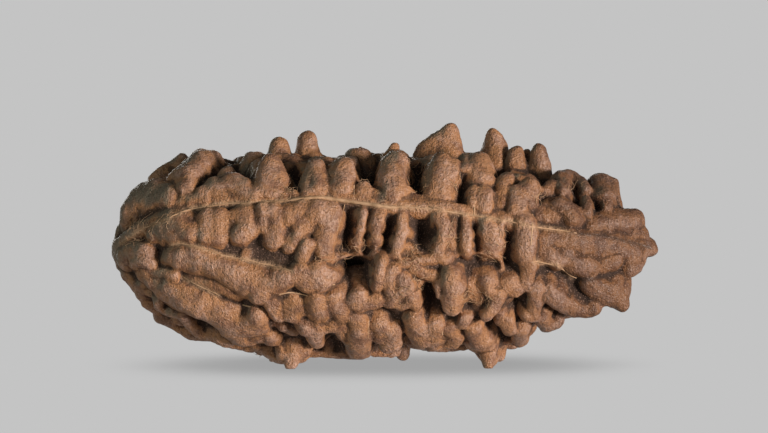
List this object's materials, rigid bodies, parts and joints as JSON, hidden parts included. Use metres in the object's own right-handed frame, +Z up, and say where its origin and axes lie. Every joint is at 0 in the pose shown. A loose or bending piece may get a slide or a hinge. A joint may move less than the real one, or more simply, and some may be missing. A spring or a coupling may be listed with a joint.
{
  "type": "rudraksha seed",
  "caption": "Long, deeply ridged woody fruit stone with rows of blunt knobs between lengthwise seams; a dry natural seed that lies on its knobs.",
  "frame": {"origin": "centre of the footprint, on the plane that the seed's lowest knobs rest on", "axes": "+X along the seed from its broad end to its slim end, -Y out of its front face, +Z up"},
  "size_m": [0.0446, 0.0194, 0.02],
  "materials": {
    "seed": "dry reddish-brown nutshell, satin on the knobs and almost black in the crevices"
  },
  "bodies": {
    "root": {"rudraksha_seed": "seed"}
  },
  "joints": []
}
